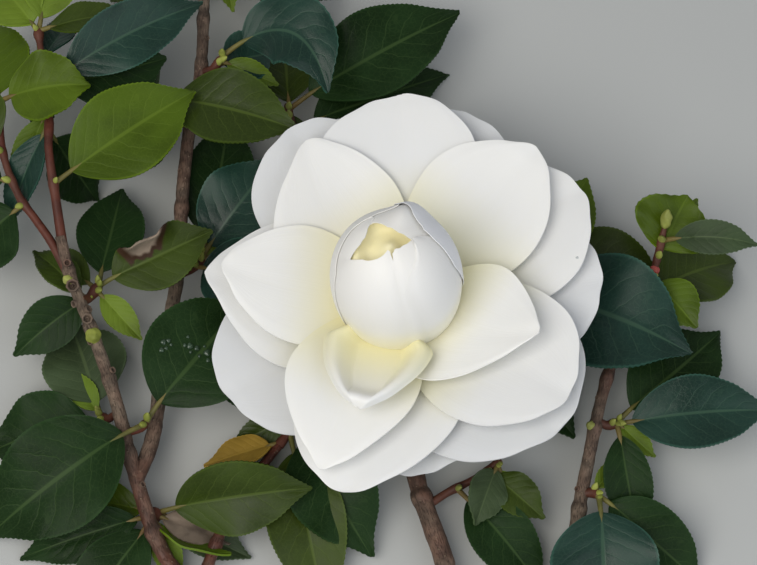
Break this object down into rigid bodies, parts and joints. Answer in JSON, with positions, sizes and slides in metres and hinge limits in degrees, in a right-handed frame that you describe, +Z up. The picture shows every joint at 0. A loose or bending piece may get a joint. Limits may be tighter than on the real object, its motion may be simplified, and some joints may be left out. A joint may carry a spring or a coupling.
{
  "type": "flowering camellia branch",
  "caption": "Cut branch of a camellia shrub with one large white formal-double bloom, forking woody stems and glossy serrate leaves, lying bloom upward.",
  "frame": {"origin": "middle of the bounding box's foot, on the level surface that the branch lies on", "axes": "+Z up out of the bloom, +Y from the cut end toward the branch's top, +X to the right when seen from above with the cut end nearest"},
  "size_m": [0.2473, 0.3033, 0.0742],
  "materials": {
    "bark": "matte",
    "leaf": "glossy",
    "young_leaf": "satin",
    "petal": "satin",
    "bud_scale": "satin"
  },
  "bodies": {
    "root": {"main_stem": "bark", "left_bough": "bark", "upright_bough": "bark", "low_twig": "bark", "right_bough": "bark", "upper_left_foliage": "young_leaf", "upper_inner_foliage": "young_leaf", "far_left_foliage": "leaf", "left_fork_foliage": "leaf", "left_middle_foliage": "leaf", "left_outer_foliage": "leaf", "low_left_foliage": "leaf", "low_centre_foliage": "leaf", "inner_left_foliage": "leaf", "top_arch_foliage": "leaf", "top_foliage": "leaf", "back_left_foliage": "leaf", "back_right_foliage": "leaf", "right_foliage": "leaf", "right_sprig_foliage": "leaf", "low_right_foliage": "leaf", "low_front_foliage": "leaf", "bloom_petals": "petal", "bloom_heart": "petal", "bloom_calyx": "bud_scale"}
  },
  "joints": []
}
